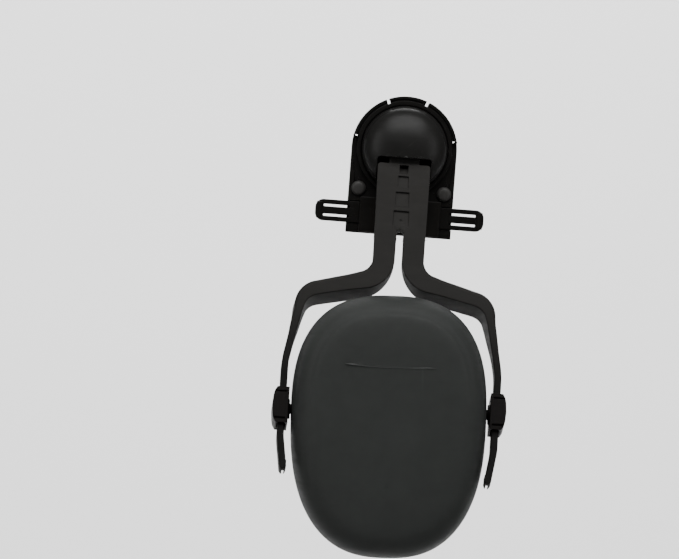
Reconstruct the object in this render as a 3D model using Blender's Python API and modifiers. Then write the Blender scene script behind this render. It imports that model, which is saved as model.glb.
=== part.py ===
"""Helmet-mounted earmuff, one side: slot bracket, swivel head, sliding fork arm, clips and ear cup.

Units are metres. The origin is on the swivel axis, on the flat back face of the bracket.
+X points to the helmet's rear, +Y to the head and +Z up.
"""

import math

import bmesh
import bpy
from mathutils import Matrix, Vector

COLLECTION = "helmet_earmuff"
GAP = 0.0003

# Bracket: an arched back plate and an arched front housing, held together by two push rivets.
ARCH_RADIUS = 0.02275
ARCH_BOTTOM = -0.0375
BACK_THICKNESS = 0.0020
HOUSING_FLOOR = 0.0046
HOUSING_RIM = 0.0072
CHANNEL_ROOF = 0.0076
ROOF_HALF_WIDTH = 0.0173
ROOF_BOTTOM = -0.0370
ROOF_TOP = -0.0219
ROOF_BACK = 0.0035
GROOVE_OUTER = 0.0216
GROOVE_INNER = 0.0208
GROOVE_DEPTH = 0.0009
STEP_TOP = 0.0039
RING_RADIUS = 0.0205
SEAT_RADIUS = 0.0197
LIP_RADIUS = 0.0190
LIP_DEPTH = 0.0050
SLIT_ANGLES = (22.6, -22.6)
RIVET_PLACES = {"front_rivet": (-0.0185, -0.0182), "rear_rivet": (0.0185, -0.0182)}
RIVET_HEAD_RADIUS = 0.00315
RIVET_SHANK_RADIUS = 0.0015
PRONG_INNER = 0.0040
PRONG_OUTER = 0.0095
PRONG_TIP = -0.0520

# Slotted accessory bar, which slides through the bracket.
BAR_HALF_LENGTH = 0.0365
BAR_HEIGHT = 0.0093
BAR_Z = -0.0287
BAR_BACK = 0.0024
BAR_FRONT = 0.0051
BAR_SLOT_PITCH = 0.0042
BAR_SLOT_WIDTH = 0.0010
BAR_SLOT_START = 0.0215
BAR_SLOT_END = 0.0330
BAR_STOP_START = 0.0336
BAR_STOP_HEIGHT = 0.0003
BAR_STOP_MARGIN = 0.0012
BAR_STOP_END = 0.0359

# Swivel head: a turntable clipped under the housing's lip, and its domed cap.
TURNTABLE_BACK = 0.0030
TURNTABLE_RADIUS = 0.0194
TURNTABLE_NECK = 0.0186
TURNTABLE_TOP = 0.0074
CAP_RADIUS = 0.0183
CAP_BASE = 0.0077
CAP_SHOULDER = 0.0095
CAP_APEX = 0.0190
CAP_WALL = 0.0013
MOUTH_HALF_WIDTH = 0.01165
MOUTH_TOP = -0.0040

# Hinge on which the arm swings away from the head. The arm leans out by LEAN at rest.
HINGE_Y = -0.0118
LEAN = math.radians(18)
PIN_RADIUS = 0.00125
LUG_INNER = 0.0110
LUG_OUTER = 0.0126

# Fork arm, upright in its own frame, whose origin is on the hinge.
STEM_HALF_WIDTH = 0.01135
STEM_HALF_THICKNESS = 0.0020
STEM_SHOULDER = -0.0076
TAB_HALF_WIDTH = 0.0065
TAB_HALF_THICKNESS = 0.0015
TAB_TOP = 0.0110
SLOT_HALF_WIDTH = 0.0015
SLOT_TOP = -0.0390
LEG_DEPTH = 0.0145
LEG_DRAFT = 0.0005
STRIP_X = 0.0456
STRIP_WIDTH = 0.0030
STRIP_DEPTH = 0.0085
STRIP_TIP = -0.1468
TIP_SHARE = 0.55
CLIP_HALF_HEIGHT = 0.0080
CLIP_INNER = 0.0429
CLIP_FRONT = 0.0038
CLIP_BACK = 0.0085
CLIP_SLACK = 0.00035
CLIP_NECK_RADIUS = 0.0043
NECK_OUTER = 0.0434
NECK_INNER = 0.0422
STUB_INNER = 0.0345
# Sizes of the leg's section, as (distance along the leg from the stem, size).
LEG_RADII = (0.0103, 0.0090, 0.040, 0.024)
LEG_WIDTHS = (
    (0, 0.0095),
    (0.016, 0.0093),
    (0.034, 0.0072),
    (0.046, 0.0067),
    (0.062, 0.0036),
    (0.075, STRIP_WIDTH),
)
LEG_DEPTHS = ((0, 0.0040), (0.006, 0.0042), (0.030, LEG_DEPTH), (0.056, LEG_DEPTH), (0.080, STRIP_DEPTH))
LEG_DRAFTS = ((0, 0), (0.010, 0), (0.030, LEG_DRAFT), (0.056, LEG_DRAFT), (0.075, 0))

# Ear cup, upright in its own frame, whose origin is on the pivot between the clips.
PIVOT_Y = -0.0460
PIVOT_Z = -0.1130
CUP_ROLL = math.radians(-2.6)
CUP_HALF_WIDTH = 0.04175
CUP_ABOVE = 0.0512
CUP_BELOW = 0.0610
CUP_MIDDLE = -0.0016
CUP_WALL = 0.0024
CUP_RIM = 0.0140
SOCKET_OUTER = 0.0382
SOCKET_RADIUS = 0.0046
SOCKET_INNER = 0.0326
STUB_RADIUS = 0.0022

BLACK = (0.012, 0.011, 0.010)
CHARCOAL = (0.035, 0.034, 0.031)
GREY = (0.038, 0.040, 0.038)
STEEL = (0.55, 0.55, 0.55)
FOAM = (0.10, 0.10, 0.105)


def clear_scene():
    for obj in list(bpy.data.objects):
        bpy.data.objects.remove(obj, do_unlink=True)


def new_collection(name):
    collection = bpy.data.collections.new(name)
    bpy.context.scene.collection.children.link(collection)
    return collection


def material(name, colour, roughness, metallic=0.0):
    made = bpy.data.materials.new(name)
    made.use_nodes = True
    shader = made.node_tree.nodes["Principled BSDF"]
    shader.inputs["Base Color"].default_value = (*colour, 1)
    shader.inputs["Roughness"].default_value = roughness
    shader.inputs["Metallic"].default_value = metallic
    return made


def put(name, mesh, finish=None, parent=None, smooth=30):
    """A new object in the part's collection or, without a finish, a hidden helper among the cutters."""
    obj = bpy.data.objects.new(name, mesh)
    if finish:
        parts.objects.link(obj)
        mesh.materials.append(finish)
    else:
        cutters.objects.link(obj)
        obj.hide_render = True
        obj.display_type = "WIRE"
    if parent:
        obj.parent = parent
    mesh.shade_smooth()
    mesh.set_sharp_from_angle(angle=math.radians(smooth))
    return obj


def frame(name, location, rotation=(0, 0, 0), parent=None):
    empty = bpy.data.objects.new(name, None)
    parts.objects.link(empty)
    empty.location = location
    empty.rotation_euler = rotation
    empty.parent = parent
    return empty


def box_mesh(low, high):
    low, high = Vector(low), Vector(high)
    bm = bmesh.new()
    size = Matrix.Diagonal((*(high - low), 1))
    bmesh.ops.create_cube(bm, size=1, matrix=Matrix.Translation((low + high) / 2) @ size)
    return finished(bm)


def rod_mesh(start, end, radius, sides=24):
    """A cylinder from start to end."""
    start, end = Vector(start), Vector(end)
    turn = (end - start).to_track_quat("Z", "Y").to_matrix().to_4x4()
    bm = bmesh.new()
    bmesh.ops.create_cone(
        bm,
        cap_ends=True,
        segments=sides,
        radius1=radius,
        radius2=radius,
        depth=(end - start).length,
        matrix=Matrix.Translation((start + end) / 2) @ turn,
    )
    return finished(bm)


def finished(bm):
    bmesh.ops.recalc_face_normals(bm, faces=bm.faces)
    mesh = bpy.data.meshes.new("mesh")
    bm.to_mesh(mesh)
    bm.free()
    return mesh


def plate_mesh(outline, back, front):
    """A flat outline of (x, z) points, filled and extruded from depth back to depth front along -Y."""
    curve = bpy.data.curves.new("outline", "CURVE")
    curve.dimensions = "2D"
    curve.fill_mode = "BOTH"
    curve.extrude = abs(front - back) / 2
    spline = curve.splines.new("POLY")
    spline.points.add(len(outline) - 1)
    for point, (x, z) in zip(spline.points, outline):
        point.co = (x, z, 0, 1)
    spline.use_cyclic_u = True
    guide = bpy.data.objects.new("outline", curve)
    cutters.objects.link(guide)
    guide.rotation_euler = (math.pi / 2, 0, 0)
    guide.location = (0, -(front + back) / 2, 0)
    bpy.context.view_layer.update()
    mesh = bpy.data.meshes.new_from_object(guide.evaluated_get(bpy.context.evaluated_depsgraph_get()))
    mesh.transform(guide.matrix_world)
    bpy.data.objects.remove(guide)
    bm = bmesh.new()
    bm.from_mesh(mesh)
    bmesh.ops.remove_doubles(bm, verts=bm.verts, dist=0.00001)
    return finished(bm)


def loft_mesh(rings, loop=False):
    """Faces between rings of equal length. A loop joins the last to the first, and otherwise both are capped."""
    bm = bmesh.new()
    rows = [[bm.verts.new(point) for point in ring] for ring in rings]
    pairs = list(zip(rows, rows[1:] + rows[:1] if loop else rows[1:]))
    for near, far in pairs:
        for i in range(len(near)):
            j = (i + 1) % len(near)
            bm.faces.new((near[i], near[j], far[j], far[i]))
    if not loop:
        bm.faces.new(rows[0])
        bm.faces.new(rows[-1])
    return finished(bm)


def turned(name, profile, finish=None, steps=48):
    """A turned shape about the swivel axis, from (radius, depth) points that run down the outer side."""
    mesh = bpy.data.meshes.new(name)
    count = len(profile)
    closed = profile[0][0] > 0
    edges = [(i, (i + 1) % count) for i in range(count if closed else count - 1)]
    mesh.from_pydata([(radius, 0, depth) for radius, depth in profile], edges, [])
    obj = put(name, mesh, finish)
    obj.rotation_euler = (math.pi / 2, 0, 0)
    screw = obj.modifiers.new("turn", "SCREW")
    screw.steps = steps
    screw.render_steps = steps
    screw.use_merge_vertices = True
    screw.merge_threshold = 0.0001
    screw.use_smooth_shade = True
    return obj


def combine(target, helper, operation="DIFFERENCE"):
    boolean = target.modifiers.new(operation.lower(), "BOOLEAN")
    boolean.operation = operation
    boolean.solver = "EXACT"
    boolean.object = helper


def cut_box(target, low, high, parent=None):
    combine(target, put("cut_box", box_mesh(low, high), parent=parent))


def cut_rod(target, start, end, radius, parent=None):
    combine(target, put("cut_rod", rod_mesh(start, end, radius), parent=parent))


def arc(centre, radius, start, end, steps):
    """Points (x, z) on an arc. Angles are in degrees from +X towards +Z."""
    found = []
    for i in range(steps + 1):
        angle = math.radians(start + (end - start) * i / steps)
        found.append((centre[0] + radius * math.cos(angle), centre[1] + radius * math.sin(angle)))
    return found


def rounded_path(corners, radii, step):
    """An open path of (x, z) points through the corners, each interior corner rounded by its radius."""
    points = [Vector(corners[0])]
    for before, corner, after, radius in zip(corners, corners[1:], corners[2:], radii):
        corner = Vector(corner)
        inward = (corner - Vector(before)).normalized()
        outward = (Vector(after) - corner).normalized()
        turn = math.acos(max(-1, min(1, inward.dot(outward))))
        cut = radius * math.tan(turn / 2)
        start, end = corner - inward * cut, corner + outward * cut
        side = (outward - inward).normalized()
        centre = corner + side * radius / math.cos(turn / 2)
        parts_of_arc = max(2, round(radius * turn / step))
        for i in range(parts_of_arc + 1):
            along = start.lerp(end, i / parts_of_arc) - centre
            points.append(centre + along.normalized() * radius)
    points.append(Vector(corners[-1]))
    return points


def filled_in(points, step):
    """The same path with its long straight stretches divided."""
    found = [points[0]]
    for near, far in zip(points, points[1:]):
        count = max(1, round((far - near).length / step))
        found += [near.lerp(far, i / count) for i in range(1, count + 1)]
    return found


def blend_between(value, stops):
    """A value that eases between (place, size) stops."""
    for (near, small), (far, large) in zip(stops, stops[1:]):
        if value <= far:
            share = max(0, (value - near) / (far - near))
            return small + (large - small) * share * share * (3 - 2 * share)
    return stops[-1][1]


def arch_outline(radius, bottom):
    return arc((0, 0), radius, 0, 180, 40) + [(-radius, bottom), (radius, bottom)]


def bracket_back(finish):
    """Back plate, whose flat face lies on the helmet, with two prongs for the helmet's slot."""
    outline = arc((0, 0), ARCH_RADIUS, 0, 180, 40) + [
        (-ARCH_RADIUS, ARCH_BOTTOM + 0.0004),
        (-PRONG_OUTER, ARCH_BOTTOM),
        (-PRONG_OUTER, PRONG_TIP + 0.002),
        (-PRONG_OUTER + 0.0015, PRONG_TIP),
        (-PRONG_INNER, PRONG_TIP),
        (-PRONG_INNER, ARCH_BOTTOM + 0.0010),
        (PRONG_INNER, ARCH_BOTTOM + 0.0010),
        (PRONG_INNER, PRONG_TIP),
        (PRONG_OUTER - 0.0015, PRONG_TIP),
        (PRONG_OUTER, PRONG_TIP + 0.002),
        (PRONG_OUTER, ARCH_BOTTOM),
        (ARCH_RADIUS, ARCH_BOTTOM + 0.0004),
    ]
    plate = put("bracket_back", plate_mesh(outline, 0, BACK_THICKNESS), finish)
    for side in (1, -1):
        barb = box_mesh(
            (min(side * PRONG_INNER, side * PRONG_OUTER) + 0.0006, -0.0031, PRONG_TIP + 0.0025),
            (max(side * PRONG_INNER, side * PRONG_OUTER) - 0.0006, -0.0015, PRONG_TIP + 0.0042),
        )
        combine(plate, put("barb", barb), "UNION")
    open_slits(plate)
    for x, z in RIVET_PLACES.values():
        cut_rod(plate, (x, 0.001, z), (x, -0.003, z), RIVET_SHANK_RADIUS + GAP)
    return plate


def open_slits(target):
    """The narrow slits through the arch: two open ones near the top and a closed one at each side."""
    for degrees in SLIT_ANGLES:
        slit = put("slit", box_mesh((-0.00065, -0.010, 0.0206), (0.00065, 0.001, 0.0240)))
        slit.rotation_euler = (0, math.radians(degrees), 0)
        combine(target, slit)
    for side in (1, -1):
        low, high = sorted((side * 0.0205, side * 0.0222))
        cut_box(target, (low, -0.010, 0.0042), (high, 0.001, 0.0049))


def bracket_front(finish):
    """Front housing: arched rim with its lip, low flanges beside it, and the roof of the bar's channel."""
    arch = plate_mesh(arch_outline(ARCH_RADIUS, ARCH_BOTTOM), BACK_THICKNESS + GAP, HOUSING_RIM)
    housing = put("bracket_front", arch, finish)
    step = put("lower_step", box_mesh((-0.030, -0.010, -0.045), (0.030, -HOUSING_FLOOR, STEP_TOP)))
    combine(step, turned("inner_ring", cylinder_profile(RING_RADIUS, 0.001, 0.012)))
    combine(housing, step)
    roof_low = (-ROOF_HALF_WIDTH, -CHANNEL_ROOF, ROOF_BOTTOM)
    roof_high = (ROOF_HALF_WIDTH, -ROOF_BACK, ROOF_TOP)
    roof = box_mesh(roof_low, roof_high)
    combine(housing, put("channel_roof", roof), "UNION")
    floor = HOUSING_RIM - GROOVE_DEPTH
    above = HOUSING_RIM + 0.0028
    groove = [(GROOVE_OUTER, above), (GROOVE_OUTER, floor), (GROOVE_INNER, floor), (GROOVE_INNER, above)]
    combine(housing, turned("groove", groove, steps=60))
    combine(housing, turned("seat", cylinder_profile(SEAT_RADIUS, 0.001, LIP_DEPTH)))
    combine(housing, turned("throat", cylinder_profile(LIP_RADIUS, 0.001, 0.010)))
    channel_low = (-0.03, -BAR_FRONT - 0.0004, BAR_Z - BAR_HEIGHT / 2 - GAP)
    channel_high = (0.03, 0, BAR_Z + BAR_HEIGHT / 2 + GAP)
    cut_box(housing, channel_low, channel_high)
    open_slits(housing)
    for x, z in RIVET_PLACES.values():
        cut_rod(housing, (x, 0, z), (x, -0.008, z), RIVET_SHANK_RADIUS + GAP)
    return housing


def cylinder_profile(radius, back, front):
    return [(0, front), (radius, front), (radius, back), (0, back)]


def rivet(name, place, finish):
    """Push rivet with a low domed head on the housing and its shank through both plates."""
    head = HOUSING_FLOOR + GAP
    profile = [
        (0, head + 0.0014),
        (0.0018, head + 0.0013),
        (0.0028, head + 0.0008),
        (RIVET_HEAD_RADIUS, head + 0.0003),
        (RIVET_HEAD_RADIUS, head),
        (RIVET_SHANK_RADIUS, head),
        (RIVET_SHANK_RADIUS, GAP),
        (0, GAP),
    ]
    obj = turned(name, profile, finish, 24)
    obj.location = (place[0], 0, place[1])
    return obj


def accessory_bar(finish):
    """Flat bar with round ends, two long slots at each end and a low stop beyond them."""
    half = BAR_HEIGHT / 2
    corner = 0.0035
    reach = BAR_HALF_LENGTH - corner
    outline = (
        arc((reach, BAR_Z - half + corner), corner, -90, 0, 6)
        + arc((reach, BAR_Z + half - corner), corner, 0, 90, 6)
        + arc((-reach, BAR_Z + half - corner), corner, 90, 180, 6)
        + arc((-reach, BAR_Z - half + corner), corner, 180, 270, 6)
    )
    bar = put("accessory_bar", plate_mesh(outline, BAR_BACK, BAR_FRONT), finish)
    for side in (1, -1):
        low, high = sorted((side * BAR_STOP_START, side * BAR_STOP_END))
        stop = box_mesh(
            (low, -BAR_FRONT - BAR_STOP_HEIGHT, BAR_Z - half + BAR_STOP_MARGIN),
            (high, -BAR_FRONT + BAR_STOP_HEIGHT, BAR_Z + half - BAR_STOP_MARGIN),
        )
        combine(bar, put("end_stop", stop), "UNION")
        low, high = sorted((side * BAR_SLOT_START, side * BAR_SLOT_END))
        for level in (0.5, -0.5):
            middle = BAR_Z + level * BAR_SLOT_PITCH
            cut_box(
                bar,
                (low, -0.010, middle - BAR_SLOT_WIDTH / 2),
                (high, 0.001, middle + BAR_SLOT_WIDTH / 2),
            )
    return bar


def wave_washer(finish):
    """Friction spring between the back plate and the turntable."""
    washer = [(0.0155, 0.0027), (0.0155, 0.0023), (0.0120, 0.0023), (0.0120, 0.0027)]
    return turned("wave_washer", washer, finish)


def turntable(finish):
    """Turntable: flange under the lip, floor, ring wall and the two hinge lugs."""
    floor = 0.0040
    profile = [
        (0, floor),
        (0.0164, floor),
        (0.0164, TURNTABLE_TOP),
        (TURNTABLE_NECK, TURNTABLE_TOP),
        (TURNTABLE_NECK, LIP_DEPTH - GAP),
        (TURNTABLE_RADIUS, LIP_DEPTH - GAP),
        (TURNTABLE_RADIUS, TURNTABLE_BACK),
        (0, TURNTABLE_BACK),
    ]
    table = turned("swivel_turntable", profile, finish)
    for side in (1, -1):
        near, far = sorted((side * LUG_INNER, side * LUG_OUTER))
        lug = box_mesh((near, HINGE_Y, -0.0024), (far, -0.0036, 0.0024))
        combine(table, put("lug", lug), "UNION")
        eye = rod_mesh((near, HINGE_Y, 0), (far, HINGE_Y, 0), 0.0024)
        combine(table, put("lug_eye", eye), "UNION")
        cut_rod(table, (near - 0.001, HINGE_Y, 0), (far + 0.001, HINGE_Y, 0), PIN_RADIUS + GAP)
    return table


def dome_points(radius, base, apex, steps, outward):
    """Quarter-ellipse (radius, depth) points between the apex and the shoulder."""
    found = []
    for i in range(steps + 1):
        angle = math.pi / 2 * (i / steps if outward else 1 - i / steps)
        found.append((radius * math.sin(angle), base + (apex - base) * math.cos(angle)))
    return found


def pivot_cap(finish):
    """Domed cap over the hinge, with a mouth from which the stem leaves."""
    inner = CAP_RADIUS - CAP_WALL
    profile = dome_points(CAP_RADIUS, CAP_SHOULDER, CAP_APEX, 12, True)
    profile += [(CAP_RADIUS, CAP_BASE), (inner, CAP_BASE)]
    profile += dome_points(inner, CAP_SHOULDER, CAP_APEX - CAP_WALL, 9, False)
    profile = [(0 if radius < 1e-9 else radius, depth) for radius, depth in profile]
    cap = turned("pivot_cap", profile, finish)
    cut_box(cap, (-MOUTH_HALF_WIDTH, -0.030, -0.025), (MOUTH_HALF_WIDTH, 0, MOUTH_TOP))
    return cap


def hinge_pin(name, side, finish):
    return put(name, rod_mesh((side * 0.0072, HINGE_Y, 0), (side * 0.0134, HINGE_Y, 0), PIN_RADIUS), finish)


def torsion_spring(name, side, finish):
    """Coil round the hinge pin whose two legs press the arm towards the head."""
    wire, coil, turns = 0.00027, 0.0021, 3
    curve = bpy.data.curves.new(name, "CURVE")
    curve.dimensions = "3D"
    curve.bevel_depth = wire
    curve.bevel_resolution = 2
    curve.use_fill_caps = True
    count = 12 * turns
    route = []
    for i in range(count + 1):
        angle = 2 * math.pi * turns * i / count
        along = 0.0092 + 0.0014 * i / count
        route.append((side * along, HINGE_Y + coil * math.cos(angle), coil * math.sin(angle)))
    route.insert(0, (side * 0.0092, HINGE_Y + coil, -0.0030))
    route.append((side * 0.0106, HINGE_Y + coil, 0.0030))
    spline = curve.splines.new("POLY")
    spline.points.add(len(route) - 1)
    for point, place in zip(spline.points, route):
        point.co = (*place, 1)
    spring = bpy.data.objects.new(name, curve)
    parts.objects.link(spring)
    curve.materials.append(finish)
    return spring


def arm_carrier(finish, hinge):
    """Sleeve that swings on the pins and guides the stem's tab."""
    outer = box_mesh((-0.0086, -0.0032, -0.0035), (0.0086, 0.0032, 0.0050))
    carrier = put("arm_carrier", outer, finish, hinge)
    tunnel = TAB_HALF_WIDTH + GAP, TAB_HALF_THICKNESS + GAP
    cut_box(carrier, (-tunnel[0], -tunnel[1], -0.010), (tunnel[0], tunnel[1], 0.010), hinge)
    cut_box(carrier, (-0.0032, -0.010, -0.0025), (0.0032, 0, 0.0038), hinge)
    for side in (1, -1):
        cut_rod(carrier, (side * 0.0060, 0, 0), (side * 0.0100, 0, 0), PIN_RADIUS + GAP, hinge)
    return carrier


def detent_leaf(finish, hinge):
    """Leaf spring in the carrier's window that clicks into the stem's notches."""
    leaf = box_mesh((-0.0026, -0.0029, -0.0021), (0.0026, -0.0023, 0.0034))
    return put("detent_leaf", leaf, finish, hinge)


def on_front(x, z):
    """A place seen from the front, as (x, z) in the arm's own upright frame, on the arm's front face."""
    return (x, (z - STEM_HALF_THICKNESS * math.sin(LEAN)) / math.cos(LEAN))


def leg_section(half, back, draft):
    """(offset across, depth) points round a leg's section: soft front corners, and sides that flare backwards."""
    front = -STEM_HALF_THICKNESS
    soft = min(0.0010, half * 0.5)
    return (
        (-half, front + soft),
        (-half + soft, front),
        (half - soft, front),
        (half, front + soft),
        (half + draft, back),
        (-half - draft, back),
    )


def leg_mesh(side):
    """One leg of the fork: a band that bends outwards, turns down at the corner and narrows to the strip."""
    corners = [
        on_front(0.00625, -0.0370),
        on_front(0.00625, -0.0554),
        on_front(0.0398, -0.0634),
        on_front(STRIP_X, -0.0935),
        on_front(STRIP_X, -0.1260),
        on_front(0.0435, -0.1400),
    ]
    path = filled_in(rounded_path(corners, LEG_RADII, 0.0022), 0.006)
    rings, run = [], 0
    for i, point in enumerate(path):
        if i:
            run += (point - path[i - 1]).length
        ahead = path[min(i + 1, len(path) - 1)] - path[max(i - 1, 0)]
        across = Vector((ahead.y, -ahead.x)).normalized()
        half = blend_between(run, LEG_WIDTHS) / 2
        if i == len(path) - 1:
            half *= TIP_SHARE
        back = blend_between(run, LEG_DEPTHS) - STEM_HALF_THICKNESS
        ring = []
        for offset, depth in leg_section(half, back, blend_between(run, LEG_DRAFTS)):
            place = point + across * offset
            ring.append((side * place.x, depth, place.y))
        rings.append(ring)
    return loft_mesh(rings)


def fork_arm(finish, hinge):
    """Stem with its tab and click notches, the two legs, and the strips with end hooks."""
    stem_outline = [
        (TAB_HALF_WIDTH, STEM_SHOULDER),
        (STEM_HALF_WIDTH, STEM_SHOULDER),
        (STEM_HALF_WIDTH - 0.0004, -0.0415),
        (-STEM_HALF_WIDTH + 0.0004, -0.0415),
        (-STEM_HALF_WIDTH, STEM_SHOULDER),
        (-TAB_HALF_WIDTH, STEM_SHOULDER),
    ]
    stem = plate_mesh(stem_outline, -STEM_HALF_THICKNESS, STEM_HALF_THICKNESS)
    arm = put("fork_arm", stem, finish, hinge)
    tab = box_mesh(
        (-TAB_HALF_WIDTH, -TAB_HALF_THICKNESS, STEM_SHOULDER - 0.003),
        (TAB_HALF_WIDTH, TAB_HALF_THICKNESS, TAB_TOP),
    )
    combine(arm, put("tab", tab, parent=hinge), "UNION")
    for side in (1, -1):
        combine(arm, put("leg", leg_mesh(side), parent=hinge), "UNION")
        hook_low, hook_high = sorted((side * 0.0423, side * 0.0440))
        hook = box_mesh((hook_low, -0.0016, STRIP_TIP + 0.0004), (hook_high, 0.0060, STRIP_TIP + 0.0030))
        combine(arm, put("hook", hook, parent=hinge), "UNION")
    cut_rod(arm, (0, -0.02, SLOT_TOP), (0, 0.02, SLOT_TOP), SLOT_HALF_WIDTH, hinge)
    cut_box(arm, (-SLOT_HALF_WIDTH, -0.02, -0.060), (SLOT_HALF_WIDTH, 0.02, SLOT_TOP), hinge)
    for width, top, bottom, depth in (
        (0.0037, -0.0071, -0.0108, 0.0030),
        (0.0045, -0.0119, -0.0171, 0.0012),
        (0.0057, -0.0188, -0.0249, 0.0012),
        (0.0067, -0.0269, -0.0336, 0.0012),
    ):
        notch = notch_mesh(width, on_front(0, top)[1], on_front(0, bottom)[1], depth)
        combine(arm, put("notch", notch, parent=hinge))
    return arm


def notch_mesh(width, top, bottom, depth):
    """Wedge that is deep at its top and flush with the front face at its bottom."""
    face = -STEM_HALF_THICKNESS
    rings = []
    for x in (-width / 2, width / 2):
        rings.append([
            (x, face - 0.001, top),
            (x, face + depth, top),
            (x, face, bottom),
            (x, face - 0.001, bottom),
        ])
    return loft_mesh(rings)


def clip(name, side, finish, hinge, cup):
    """Slider on a strip. Its stub carries the cup."""
    pivot = cup_point((side * STRIP_X, 0, 0))
    level = hinge_frame_z(pivot)
    outline = [
        (CLIP_INNER, level - CLIP_HALF_HEIGHT),
        (0.0481, level - CLIP_HALF_HEIGHT),
        (0.0495, level - 0.6 * CLIP_HALF_HEIGHT),
        (0.0499, level),
        (0.0495, level + 0.6 * CLIP_HALF_HEIGHT),
        (0.0481, level + CLIP_HALF_HEIGHT),
        (CLIP_INNER, level + CLIP_HALF_HEIGHT),
    ]
    outline = [(side * x, z) for x, z in outline]
    slider = put(name, plate_mesh(outline, -CLIP_BACK, CLIP_FRONT), finish, hinge)
    half = STRIP_WIDTH / 2 + CLIP_SLACK
    low, high = sorted((side * (STRIP_X - half), side * (STRIP_X + half)))
    strip_back = STRIP_DEPTH - STEM_HALF_THICKNESS
    passage_low = (low, -STEM_HALF_THICKNESS - CLIP_SLACK, level - 0.02)
    passage_high = (high, strip_back + CLIP_SLACK, level + 0.02)
    neck = rod_mesh((side * NECK_OUTER, 0, 0), (side * NECK_INNER, 0, 0), CLIP_NECK_RADIUS)
    combine(slider, put("neck", neck, parent=cup), "UNION")
    stub = rod_mesh((side * NECK_OUTER, 0, 0), (side * STUB_INNER, 0, 0), STUB_RADIUS)
    combine(slider, put("stub", stub, parent=cup), "UNION")
    cut_box(slider, passage_low, passage_high, hinge)
    return slider


def cup_point(place):
    """A place in the cup's frame, in world coordinates."""
    turn = Matrix.Rotation(CUP_ROLL, 4, "Y")
    return Matrix.Translation((0, PIVOT_Y, PIVOT_Z)) @ turn @ Vector(place)


def hinge_frame_z(place):
    """The height of a world place in the arm's own upright frame."""
    lean = Matrix.Rotation(-LEAN, 4, "X")
    return ((Matrix.Translation((0, HINGE_Y, 0)) @ lean).inverted() @ Vector(place)).z


def egg_ring(inset, y, count=48):
    """The cup's outline drawn in by inset, at depth y in the cup's frame."""
    ring = []
    for i in range(count):
        angle = 2 * math.pi * i / count
        sine, cosine = math.sin(angle), math.cos(angle)
        power = 2 / 2.6 if sine > 0 else 2 / 2.5
        height = (CUP_ABOVE if sine > 0 else CUP_BELOW) - inset
        x = math.copysign(abs(cosine) ** power, cosine) * (CUP_HALF_WIDTH - inset)
        z = math.copysign(abs(sine) ** power, sine) * height
        ring.append((x, y, CUP_MIDDLE + z))
    return ring


def cup_shell(finish, cup):
    """Hollow egg-shaped cup, open towards the head, with a hole in each side for a stub."""
    outside = (
        (0.0300, -0.0212),
        (0.0145, -0.0203),
        (0.0088, -0.0190),
        (0.0048, -0.0162),
        (0.0019, -0.0115),
        (0.0004, -0.0055),
        (0.0000, 0.0000),
        (0.0004, 0.0050),
        (0.0017, 0.0095),
        (0.0042, CUP_RIM),
    )
    inside = (
        (0.0066, CUP_RIM),
        (0.0042, 0.0095),
        (0.0028, 0.0050),
        (CUP_WALL, 0.0000),
        (0.0030, -0.0055),
        (0.0048, -0.0110),
        (0.0085, -0.0152),
        (0.0160, -0.0176),
        (0.0300, -0.0184),
    )
    rings = [egg_ring(inset, y) for inset, y in outside + inside]
    shell = put("cup_shell", loft_mesh(rings), finish, cup, 40)
    for side in (1, -1):
        cut_rod(shell, (side * 0.036, 0, 0), (side * 0.045, 0, 0), STUB_RADIUS + 0.0004, cup)
    return shell


def cup_socket(name, side, finish, cup):
    """Bearing boss inside the cup's wall, which turns on a clip's stub."""
    barrel = rod_mesh((side * SOCKET_INNER, 0, 0), (side * SOCKET_OUTER, 0, 0), SOCKET_RADIUS)
    socket = put(name, barrel, finish, cup)
    cut_rod(socket, (side * (SOCKET_INNER + 0.0012), 0, 0), (side * 0.045, 0, 0), STUB_RADIUS + GAP, cup)
    return socket


def foam_liner(finish, cup):
    """Dish of sound-absorbing foam in the cup, notched round the sockets."""
    section = (
        (0.0300, -0.0179),
        (0.0165, -0.0172),
        (0.0100, -0.0145),
        (0.0070, -0.0105),
        (0.0058, -0.0050),
        (0.0058, 0.0060),
        (0.0120, 0.0060),
        (0.0130, -0.0060),
        (0.0180, -0.0092),
        (0.0300, -0.0095),
    )
    rings = [egg_ring(inset, y, 40) for inset, y in section]
    liner = put("foam_liner", loft_mesh(rings), finish, cup, 40)
    for side in (1, -1):
        low, high = sorted((side * 0.0318, side * 0.0420))
        cut_box(liner, (low, -0.0054, -0.0054), (high, 0.0080, 0.0054), cup)
    return liner


def liner_cloth(finish, cup):
    """Thin cloth over the liner's floor."""
    rings = [egg_ring(0.0184, -0.0084, 40), egg_ring(0.0184, -0.0078, 40)]
    return put("liner_cloth", loft_mesh(rings), finish, cup)


def ring_band(name, section, finish, cup, count=48):
    """A ring whose (inset, y) section is carried round the cup's outline."""
    rings = [egg_ring(inset, y, count) for inset, y in section]
    return put(name, loft_mesh(rings, loop=True), finish, cup, 40)


def cushion_plate(finish, cup):
    """Hard ring that clips into the cup's rim and carries the cushion."""
    section = (
        (0.0050, CUP_RIM + GAP),
        (0.0050, CUP_RIM + 0.0023),
        (0.0155, CUP_RIM + 0.0023),
        (0.0155, CUP_RIM - 0.0010),
        (0.0140, CUP_RIM - 0.0040),
        (0.0128, CUP_RIM - 0.0040),
        (0.0128, CUP_RIM + GAP),
    )
    return ring_band("cushion_plate", section, finish, cup)


def cushion_foam(finish, cup):
    section = (
        (0.0068, 0.0169),
        (0.0061, 0.0190),
        (0.0061, 0.0235),
        (0.0076, 0.0262),
        (0.0100, 0.0272),
        (0.0124, 0.0262),
        (0.0139, 0.0235),
        (0.0139, 0.0190),
        (0.0132, 0.0169),
    )
    return ring_band("cushion_foam", section, finish, cup, 40)


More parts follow.
